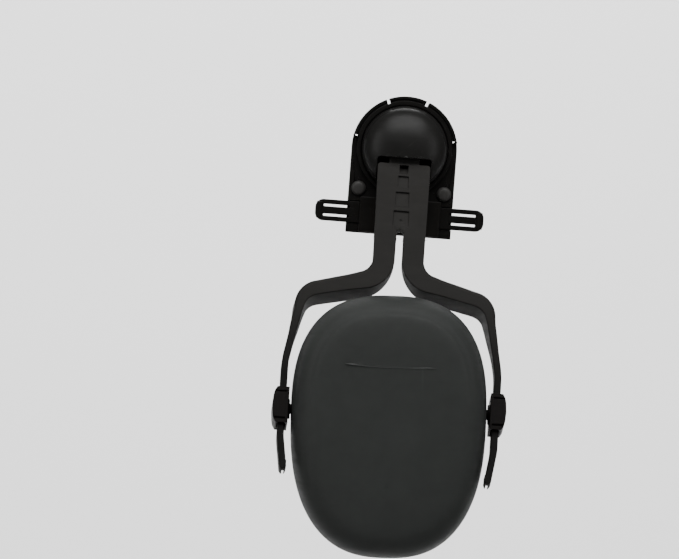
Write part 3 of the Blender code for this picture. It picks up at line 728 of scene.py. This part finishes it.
def make_cap():
    """Domed cap with a small flange round its foot, and a mouth from which the stem leaves."""
    inner = CAP_RADIUS - CAP_WALL
    outside, inside = [], []
    steps = 28
    for i in range(steps + 1):
        angle = math.pi / 2 * i / steps
        share = max(math.sin(angle), 0.012)
        outside.append(((CAP_RADIUS - 0.0004) * share, CAP_SHOULDER + (CAP_APEX - CAP_SHOULDER) * math.cos(angle)))
        rise = CAP_APEX - CAP_WALL - CAP_SHOULDER
        inside.append((inner * share, CAP_SHOULDER + rise * math.cos(angle)))
    foot = [
        (CAP_RADIUS - 0.0004, CAP_SHOULDER - 0.0004),
        (CAP_RADIUS - 0.0001, CAP_SHOULDER - 0.0006),
        (CAP_RADIUS, CAP_SHOULDER - 0.0009),
        (CAP_RADIUS, CAP_BASE + 0.0002),
        (CAP_RADIUS - 0.0002, CAP_BASE),
        (inner, CAP_BASE),
    ]
    profile = outside + foot + inside[::-1]
    rings = []
    for radius, depth in profile:
        rings.append([
            (radius * math.cos(2 * math.pi * i / 144), -depth, radius * math.sin(2 * math.pi * i / 144))
            for i in range(144)
        ])
    mouth = rounded_box_outline(-MOUTH_HALF_WIDTH, MOUTH_HALF_WIDTH, -0.026, MOUTH_TOP, 0.0011, 6)
    cap = shape("swivel_cap", loft(rings), [("DIFFERENCE", prism(mouth, 0, 0.030))])
    soften(cap, 0.00018, 2, 50)
    return finish_piece(cap, "swivel", "cap_charcoal", "pivot_cap")


# ---------------------------------------------------------------- fork arm

def on_front(x, z):
    """A place seen from the front, as (x, z) in the arm's own upright frame, on the arm's front face."""
    return (x, (z - STEM_HALF_THICKNESS * math.sin(LEAN)) / math.cos(LEAN))


LEG_WIDTHS = ((0, 0.0095), (0.016, 0.0093), (0.034, 0.0072), (0.046, 0.0067), (0.062, 0.0036), (0.075, STRIP_WIDTH))
LEG_DEPTHS = ((0, 0.0040), (0.006, 0.0042), (0.030, LEG_DEPTH), (0.056, LEG_DEPTH), (0.080, STRIP_DEPTH))
LEG_DRAFTS = ((0, 0), (0.010, 0), (0.030, LEG_DRAFT), (0.056, LEG_DRAFT), (0.075, 0))
LEG_ROUNDS = ((0, 0.0004), (0.010, 0.0004), (0.022, 0.0016), (0.050, 0.0020), (0.066, 0.0008), (0.080, 0.0005))


def leg_path():
    corners = [
        on_front(0.00625, -0.0370),
        on_front(0.00625, -0.0554),
        on_front(0.0398, -0.0634),
        on_front(STRIP_X, -0.0935),
        on_front(STRIP_X, -0.1260),
        on_front(0.0435, -0.1400),
    ]
    return filled_in(rounded_path(corners, (0.0103, 0.0090, 0.040, 0.024), 0.0007), 0.0012)


def quarter(centre, radius, start, steps=5):
    """Points on a quarter circle of a section, as (across, depth)."""
    found = []
    for i in range(steps + 1):
        angle = math.radians(start + 90 * i / steps)
        found.append((centre[0] + radius * math.cos(angle), centre[1] + radius * math.sin(angle)))
    return found


def leg_section(half, back, draft, soft):
    """Section of the leg: a softly rounded front, drafted sides, and a channel sunk into its back."""
    front = -STEM_HALF_THICKNESS
    outer = min(soft, half * 0.8)
    inner = min(0.0005, half * 0.4)
    wall = min(0.0016, half * 0.55)
    sunk = max(0.0001, back - front - 0.0034)
    ring = quarter((half - inner, front + inner), inner, -90)[::1]
    ring += [(half + draft, back - 0.0003), (half + draft - 0.0003, back)]
    ring += [(half + draft - wall, back), (half - wall, back - sunk), (-half + wall, back - sunk)]
    ring += [(-half - draft + wall, back), (-half - draft + 0.0003, back), (-half - draft, back - 0.0003)]
    ring += quarter((-half + outer, front + outer), outer, 180)
    return ring


def make_leg(side):
    """One leg: it bends outwards, turns down at the corner and narrows to the strip."""
    path = leg_path()
    rings, run = [], 0
    for i, point in enumerate(path):
        if i:
            run += (point - path[i - 1]).length
        ahead = path[min(i + 1, len(path) - 1)] - path[max(i - 1, 0)]
        across = Vector((-ahead.y, ahead.x)).normalized()
        half = blend_between(run, LEG_WIDTHS) / 2
        if i == len(path) - 1:
            half *= 0.55
        back = blend_between(run, LEG_DEPTHS) - STEM_HALF_THICKNESS
        section = leg_section(half, back, blend_between(run, LEG_DRAFTS), blend_between(run, LEG_ROUNDS))
        ring = []
        for offset, depth in section:
            place = point - across * offset
            ring.append((side * place.x, depth, place.y))
        rings.append(ring)
    return loft(rings)


def notch(width, top, bottom, depth):
    """Wedge that is deep at its top and shallow at its bottom."""
    face = -STEM_HALF_THICKNESS
    rings = []
    for x in (-width / 2, width / 2):
        rings.append([
            (x, face - 0.001, top),
            (x, face + depth, top),
            (x, face + 0.0003, bottom),
            (x, face - 0.001, bottom),
        ])
    return loft(rings)


def make_arm():
    """Stem with its tab, click notches and slot; the two legs; hooks on the strips."""
    outline = [
        (TAB_HALF_WIDTH, STEM_SHOULDER),
        (STEM_HALF_WIDTH - 0.0008, STEM_SHOULDER),
        (STEM_HALF_WIDTH, STEM_SHOULDER - 0.0008),
        (STEM_HALF_WIDTH - 0.0004, -0.0415),
        (-STEM_HALF_WIDTH + 0.0004, -0.0415),
        (-STEM_HALF_WIDTH, STEM_SHOULDER - 0.0008),
        (-STEM_HALF_WIDTH + 0.0008, STEM_SHOULDER),
        (-TAB_HALF_WIDTH, STEM_SHOULDER),
    ]
    tab = box(
        (-TAB_HALF_WIDTH, -TAB_HALF_THICKNESS, STEM_SHOULDER - 0.003),
        (TAB_HALF_WIDTH, TAB_HALF_THICKNESS, TAB_TOP),
    )
    tools = [("UNION", tab), ("UNION", make_leg(1)), ("UNION", make_leg(-1))]
    for side in (1, -1):
        low, high = sorted((side * 0.0423, side * 0.0440))
        hook = box((low, -0.0016, STRIP_TIP + 0.0004), (high, 0.0060, STRIP_TIP + 0.0030))
        tools.append(("UNION", hook))
    slot = arc((0, SLOT_TOP), SLOT_HALF_WIDTH, 0, 180, 16) + [(-SLOT_HALF_WIDTH, -0.060), (SLOT_HALF_WIDTH, -0.060)]
    tools.append(("DIFFERENCE", prism(slot, -0.02, 0.02)))
    for width, top, bottom, depth in (
        (0.0037, -0.0071, -0.0108, 0.0030),
        (0.0045, -0.0119, -0.0171, 0.0009),
        (0.0057, -0.0188, -0.0249, 0.0009),
        (0.0067, -0.0269, -0.0336, 0.0009),
    ):
        tools.append(("DIFFERENCE", notch(width, on_front(0, top)[1], on_front(0, bottom)[1], depth)))
    arm = shape("fork_arm_body", prism(outline, -STEM_HALF_THICKNESS, STEM_HALF_THICKNESS), tools, ARM_FRAME)
    soften(arm, 0.00016, 2, 38)
    level = on_front(0, -0.0309)[1]
    dot = rod((0, -0.0030, level), (0, -STEM_HALF_THICKNESS + 0.0009, level), 0.00055, 24)
    dot.transform(ARM_FRAME)
    cut(arm, dot)
    return finish_piece(arm, "arm", "arm_charcoal", "fork_arm")


# ---------------------------------------------------------------- clips

def make_clip(name, side, body):
    """Slider on a strip, barrelled on its outer side, with a collar at each end and the stub that carries the cup."""
    pivot = CUP_FRAME @ Vector((side * STRIP_X, 0, 0))
    level = (ARM_FRAME.inverted() @ pivot).z
    reach = CLIP_HALF_HEIGHT
    outer = [(0.0481, -1), (0.0491, -0.78), (0.0496, -0.5), (0.0499, 0), (0.0496, 0.5), (0.0491, 0.78), (0.0481, 1)]
    outline = [(0.0429, level - reach)] + [(x, level + share * reach) for x, share in outer] + [(0.0429, level + reach)]
    outline = [(side * x, z) for x, z in outline]
    slack = 0.00035
    low, high = sorted((side * (STRIP_X - STRIP_WIDTH / 2 - slack), side * (STRIP_X + STRIP_WIDTH / 2 + slack)))
    passage = box(
        (low, -STEM_HALF_THICKNESS - slack, level - 0.02),
        (high, STRIP_DEPTH - STEM_HALF_THICKNESS + slack, level + 0.02),
    )
    to_arm = ARM_FRAME.inverted() @ CUP_FRAME
    neck = rod((side * 0.0434, 0, 0), (side * 0.0422, 0, 0), 0.0043)
    stub = rod((side * 0.0434, 0, 0), (side * 0.0345, 0, 0), STUB_RADIUS)
    for mesh in (neck, stub):
        mesh.transform(to_arm)
    tools = [("UNION", neck), ("UNION", stub), ("DIFFERENCE", passage)]
    for share in (-0.74, 0.74):
        groove_low, groove_high = sorted((side * 0.0440, side * 0.0520))
        place = level + share * reach
        tools.append(("DIFFERENCE", box((groove_low, -0.0060, place - 0.0002), (groove_high, -0.0036, place + 0.0002))))
    clip = shape(name + "_slider", prism(outline, -0.0085, 0.0038), tools, ARM_FRAME)
    soften(clip, 0.00028)
    return finish_piece(clip, body, "clip_black", name)


# ---------------------------------------------------------------- ear cup

def egg_ring(inset, y, count=48):
    """The cup's outline drawn in by inset, at depth y in the cup's frame. Inset may be a function of the angle."""
    ring = []
    for i in range(count):
        angle = 2 * math.pi * i / count
        sine, cosine = math.sin(angle), math.cos(angle)
        drawn = inset(angle) if callable(inset) else inset
        power = 2 / 2.6 if sine > 0 else 2 / 2.5
        height = (CUP_ABOVE if sine > 0 else CUP_BELOW) - drawn
        x = math.copysign(abs(cosine) ** power, cosine) * (CUP_HALF_WIDTH - drawn)
        z = math.copysign(abs(sine) ** power, sine) * height
        ring.append((x, y, CUP_MIDDLE + z))
    return ring


def ring_solid(section, count=144):
    """A ring whose (inset, y) section is carried round the cup's outline."""
    return loft([egg_ring(inset, y, count) for inset, y in section], loop=True)


def creased(ring, inset):
    """Lifts the centre panel a little off the shoulder, most at the top of the cup and not at all at its bottom."""
    lift = 0.00050 * smooth_step(0.0066, 0.0082, inset) - 0.00022 * math.exp(-((inset - 0.0064) / 0.0011) ** 2)
    found = []
    for x, y, z in ring:
        share = smooth_step(-0.010, 0.034, z)
        found.append((x, y - lift * share if y < -0.012 else y, z))
    return found


def make_ridge():
    """Fine moulded line across the upper part of the face."""
    spine = smooth_curve(RIDGE, 12)
    rings = []
    for i, point in enumerate(spine):
        share = i / (len(spine) - 1)
        size = 0.00022 * (1 - 0.45 * share) * min(1, 0.25 + 12 * share, 0.25 + 12 * (1 - share))
        crest = (point.x, RIDGE_DEPTH - size, point.y)
        upper = (point.x, RIDGE_DEPTH + size, point.y + 3.2 * size)
        lower = (point.x, RIDGE_DEPTH + size, point.y - 0.5 * size)
        rings.append([crest, upper, lower])
    return loft(rings)


def make_cup():
    """Deep egg-shaped cup: rounded side, sloping shoulder, a soft crease and an almost flat face."""
    outside = smooth_curve([
        (0.0380, -0.0207),
        (0.0300, -0.0206),
        (0.0220, -0.0204),
        (0.0150, -0.0200),
        (0.0105, -0.0194),
        (0.0078, -0.0185),
        (0.0052, -0.0168),
        (0.0030, -0.0141),
        (0.0015, -0.0105),
        (0.0004, -0.0055),
        (0.0000, 0.0000),
        (0.0004, 0.0050),
        (0.0017, 0.0095),
        (0.0040, CUP_RIM - 0.0004),
    ], 6)
    rim = [(0.0042, CUP_RIM - 0.0001), (0.0045, CUP_RIM), (0.0062, CUP_RIM), (0.0066, CUP_RIM - 0.0003)]
    inside = smooth_curve([
        (0.0064, CUP_RIM - 0.0008),
        (0.0042, 0.0095),
        (0.0028, 0.0050),
        (0.0024, 0.0000),
        (0.0030, -0.0055),
        (0.0048, -0.0110),
        (0.0085, -0.0152),
        (0.0160, -0.0176),
        (0.0300, -0.0184),
        (0.0380, -0.0184),
    ], 4)
    rings = [creased(egg_ring(inset, y, 192), inset) for inset, y in outside]
    rings += [egg_ring(inset, y, 192) for inset, y in [*rim, *inside]]
    tools = []
    for side in (1, -1):
        tools.append(("DIFFERENCE", rod((side * 0.036, 0, 0), (side * 0.045, 0, 0), STUB_RADIUS + 0.0004)))
    tools.append(("DIFFERENCE", rod((DIMPLE[0], -0.0225, DIMPLE[1]), (DIMPLE[0], -0.0204, DIMPLE[1]), 0.0008, 24)))
    tools.append(("UNION", make_ridge()))
    cup = shape("ear_cup", loft(rings), tools, CUP_FRAME)
    smooth(cup, 40)
    return finish_piece(cup, "cup", "cup_grey", "cup_shell")


def make_cushion_plate():
    section = [
        (0.0050, CUP_RIM + GAP),
        (0.0050, CUP_RIM + 0.0023),
        (0.0155, CUP_RIM + 0.0023),
        (0.0155, CUP_RIM - 0.0010),
        (0.0140, CUP_RIM - 0.0040),
        (0.0128, CUP_RIM - 0.0040),
        (0.0128, CUP_RIM + GAP),
    ]
    plate = shape("cushion_ring_plate", ring_solid(section), (), CUP_FRAME)
    soften(plate, 0.0002)
    return finish_piece(plate, "cup", "cushion_plate", "cushion_plate")


def simulate_cushion(obj, pinned_depth, cap):
    """Blows the cushion up as cloth from a slightly smaller shape. The edge against the plate stays where it is."""
    rest = [vertex.co.copy() for vertex in obj.data.vertices]
    group = obj.vertex_groups.new(name="held")
    for vertex in obj.data.vertices:
        if vertex.co.y < pinned_depth:
            group.add([vertex.index], 1.0, "REPLACE")
    cloth = obj.modifiers.new("cloth", "CLOTH")
    settings = cloth.settings
    settings.quality = 6
    settings.mass = 0.2
    settings.tension_stiffness = 12
    settings.compression_stiffness = 12
    settings.shear_stiffness = 6
    settings.bending_stiffness = 0.4
    settings.use_pressure = True
    settings.uniform_pressure_force = 4.0
    settings.vertex_group_mass = "held"
    settings.effector_weights.gravity = 0.0
    cloth.collision_settings.use_collision = False
    scene = bpy.context.scene
    scene.frame_start, scene.frame_end = 1, 20
    for number in range(1, 21):
        scene.frame_set(number)
    puffed = evaluated_mesh(obj)
    obj.modifiers.clear()
    for vertex, start, end in zip(obj.data.vertices, rest, puffed.vertices):
        move = end.co - start
        if move.length > cap:
            move *= cap / move.length
        vertex.co = start + move
    scene.frame_set(1)
    obj.vertex_groups.clear()
    return obj


def make_cushion():
    """Padded skin round the foam ring: a full roll with soft puckers at its welded seams."""
    section = [
        (0.0057, 0.0167),
        (0.0052, 0.0190),
        (0.0052, 0.0236),
        (0.0068, 0.0268),
        (0.0100, 0.0280),
        (0.0132, 0.0268),
        (0.0148, 0.0236),
        (0.0148, 0.0190),
        (0.0143, 0.0167),
    ]
    cushion = new_object("cushion", ring_solid(section, 120))
    remesh = cushion.modifiers.new("remesh", "REMESH")
    remesh.mode = "VOXEL"
    remesh.voxel_size = 0.0014
    bpy.context.view_layer.update()
    cushion.data = evaluated_mesh(cushion)
    cushion.modifiers.clear()
    simulate_cushion(cushion, 0.0182, 0.0009)
    relax = cushion.modifiers.new("relax", "SMOOTH")
    relax.factor = 0.5
    relax.iterations = 3
    subdivide(cushion, 1)
    cushion.data.transform(CUP_FRAME)
    finish_piece(cushion, "cup", "cushion_skin", "cushion_cover", "cushion_foam")
    return cushion


def make_welt(name, inset):
    """Welded seam where the skin meets the plate: a flattened bead that runs round the ring."""
    rings = []
    count = 360
    centre = egg_ring(inset, 0.01685, count)
    for i, place in enumerate(centre):
        before, after = Vector(centre[i - 1]), Vector(centre[(i + 1) % count])
        ahead = (after - before).normalized()
        across = ahead.cross(Vector((0, 1, 0)))
        swell = 1 + 0.10 * math.sin(2 * math.pi * i * 90 / count)
        ring = []
        for k in range(10):
            angle = 2 * math.pi * k / 10
            ring.append(Vector(place) + across * math.cos(angle) * 0.00045 * swell + Vector((0, math.sin(angle) * 0.00032, 0)))
        rings.append(ring)
    welt = new_object(name, loft(rings, loop=True))
    welt.data.transform(CUP_FRAME)
    welt.data.shade_smooth()
    return finish_piece(welt, "cup", "cushion_skin")


def make_liner():
    """Foam dish in the cup: a soft floor and a wall that leans on the shell, notched round the sockets."""
    section = smooth_curve([
        (0.0300, -0.0179),
        (0.0165, -0.0172),
        (0.0100, -0.0145),
        (0.0070, -0.0105),
        (0.0058, -0.0050),
        (0.0058, 0.0050),
    ], 3) + smooth_curve([
        (0.0066, 0.0058),
        (0.0090, 0.0062),
        (0.0114, 0.0057),
        (0.0124, 0.0040),
        (0.0131, -0.0050),
        (0.0150, -0.0082),
        (0.0190, -0.0094),
        (0.0300, -0.0095),
        (0.0380, -0.0095),
    ], 3)
    tools = []
    for side in (1, -1):
        low, high = sorted((side * 0.0318, side * 0.0420))
        tools.append(("DIFFERENCE", box((low, -0.0054, -0.0054), (high, 0.0080, 0.0054))))
    liner = shape("liner_foam", loft([egg_ring(inset, y, 96) for inset, y in section]), tools, CUP_FRAME)
    smooth(liner, 50)
    finish_piece(liner, "cup", "foam", "foam_liner")
    return liner


def make_liner_cloth():
    """Thin cloth laid on the foam's floor, with small swells where it isn't stuck down."""
    count, rows = 96, 18
    bm = bmesh.new()
    inset = 0.0186
    centre = bm.verts.new((0, -0.0080, CUP_MIDDLE))
    outline = egg_ring(inset, -0.0080, count)
    previous = None
    for row in range(1, rows + 1):
        share = row / rows
        ring = []
        for x, y, z in outline:
            px, pz = x * share, CUP_MIDDLE + (z - CUP_MIDDLE) * share
            swell = 0.00018 * math.sin(px * 420 + 0.6) * math.sin(pz * 300 + 1.1)
            ring.append(bm.verts.new((px, y + swell - 0.0002 * share ** 6, pz)))
        for i in range(count):
            j = (i + 1) % count
            if previous is None:
                bm.faces.new((centre, ring[i], ring[j]))
            else:
                bm.faces.new((previous[i], ring[i], ring[j], previous[j]))
        previous = ring
    mesh = mesh_of(bm)
    cloth = new_object("liner_cover_cloth", mesh)
    thickness = cloth.modifiers.new("thickness", "SOLIDIFY")
    thickness.thickness = 0.0003
    thickness.offset = 0
    bpy.context.view_layer.update()
    cloth.data = evaluated_mesh(cloth)
    cloth.modifiers.clear()
    cloth.data.transform(CUP_FRAME)
    cloth.data.shade_smooth()
    finish_piece(cloth, "cup", "liner_cloth", "liner_cloth")
    return cloth


# ---------------------------------------------------------------- carried-over CAD nodes

CAD_FINISHES = {
    "swivel_turntable": "bracket_black",
    "arm_carrier": "bracket_black",
    "front_cup_socket": "clip_black",
    "rear_cup_socket": "clip_black",
    "front_hinge_pin": "spring_steel",
    "rear_hinge_pin": "spring_steel",
    "front_torsion_spring": "spring_steel",
    "rear_torsion_spring": "spring_steel",
    "detent_leaf": "spring_steel",
    "wave_washer": "spring_steel",
}


def dress_cad_nodes():
    """The inner mechanism keeps its CAD shapes, with worked-up materials and softened edges."""
    for name, slot in CAD_FINISHES.items():
        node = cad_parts[name]
        node.data.materials.clear()
        node.data.materials.append(MATERIALS[slot])
        weld = node.modifiers.new("weld", "WELD")
        weld.merge_threshold = 0.000002
        if "spring" in name and "torsion" in name:
            continue
        bevel = node.modifiers.new("edges", "BEVEL")
        bevel.width = 0.00012
        bevel.segments = 2
        bevel.limit_method = "ANGLE"
        bevel.angle_limit = math.radians(40)
        bevel.harden_normals = True


# ---------------------------------------------------------------- stage

def make_stage():
    """A pale floor that sweeps up behind the object."""
    low = CAD_BOX[0].z - 0.80
    reach, rise, bend = 3.9, 3.6, 0.6
    profile = [(-4.5, low), (reach - bend, low)]
    for i in range(1, 13):
        angle = math.pi / 2 * i / 12
        profile.append((reach - bend + bend * math.sin(angle), low + bend * (1 - math.cos(angle))))
    profile.append((reach, low + rise))
    bm = bmesh.new()
    rows = [[bm.verts.new((x, y, z)) for y, z in profile] for x in (-4.5, 4.5)]
    for i in range(len(profile) - 1):
        bm.faces.new((rows[0][i], rows[1][i], rows[1][i + 1], rows[0][i + 1]))
    sweep = new_object("studio_sweep", mesh_of(bm))
    sweep.data.shade_smooth()
    sweep.data.materials.append(studio_paper("studio_paper", (0.90, 0.90, 0.90)))


def area_light(name, place, target, size, power, colour=(1, 1, 1)):
    light = bpy.data.lights.new(name, "AREA")
    light.shape = "RECTANGLE"
    light.size, light.size_y = size
    light.energy = power
    light.color = colour
    obj = bpy.data.objects.new(name, light)
    bpy.context.scene.collection.objects.link(obj)
    obj.location = place
    obj.rotation_euler = (Vector(target) - Vector(place)).to_track_quat("-Z", "Y").to_euler()


def make_lights():
    world = bpy.data.worlds.new("studio")
    bpy.context.scene.world = world
    world.use_nodes = True
    background = world.node_tree.nodes["Background"]
    background.inputs["Color"].default_value = (1, 1, 1, 1)
    background.inputs["Strength"].default_value = 0.09
    middle = (0, 0, -0.08)
    area_light("top", (0.0, -0.40, 0.48), middle, (0.70, 0.45), 4.0)
    area_light("left", (-0.70, -0.50, 0.10), middle, (0.3, 0.6), 1.3)
    area_light("right", (0.70, -0.50, 0.10), middle, (0.3, 0.6), 0.9)
    area_light("rear", (0.0, 0.65, 0.75), middle, (0.5, 0.4), 4.0)
    area_light("backdrop", (0.0, 2.2, 1.6), (0.0, 3.9, -0.15), (3.2, 0.9), 165)


VIEW_DISTANCE = 3.0
VIEW_WIDTH = 0.2920
VIEW_AZIMUTH = math.radians(-2.0)
VIEW_ROLL = math.radians(4.35)
VIEW_PLANE = -0.020
VIEW_CENTRE = (-0.0286, -0.0563)


def make_camera():
    """Long lens, almost square to the bracket. The object leans in the view, so the camera is rolled."""
    ahead = Vector((-math.sin(VIEW_AZIMUTH), math.cos(VIEW_AZIMUTH), 0))
    level = Vector((math.cos(VIEW_AZIMUTH), math.sin(VIEW_AZIMUTH), 0))
    upright = Vector((0, 0, 1))
    right = level * math.cos(VIEW_ROLL) + upright * math.sin(VIEW_ROLL)
    up = upright * math.cos(VIEW_ROLL) - level * math.sin(VIEW_ROLL)
    aim = Vector((0, VIEW_PLANE, 0)) + right * VIEW_CENTRE[0] + up * VIEW_CENTRE[1]
    data = bpy.data.cameras.new("camera")
    camera = bpy.data.objects.new("camera", data)
    bpy.context.scene.collection.objects.link(camera)
    data.lens = data.sensor_width * VIEW_DISTANCE / VIEW_WIDTH
    data.clip_end = 20
    turn = Matrix((right, up, -ahead)).transposed().to_4x4()
    camera.matrix_world = Matrix.Translation(aim - ahead * VIEW_DISTANCE) @ turn
    bpy.context.scene.camera = camera


def main():
    make_bracket_back()
    make_bracket_front()
    for name, place in RIVET_PLACES.items():
        make_rivet(name, place)
    make_bar()
    make_cap()
    make_arm()
    make_clip("front_clip", -1, "front_slider")
    make_clip("rear_clip", 1, "rear_slider")
    make_cup()
    make_liner()
    make_liner_cloth()
    make_cushion_plate()
    make_cushion()
    make_welt("outer_welt", 0.0056)
    make_welt("inner_welt", 0.0144)
    dress_cad_nodes()
    make_stage()
    make_lights()
    make_camera()


main()
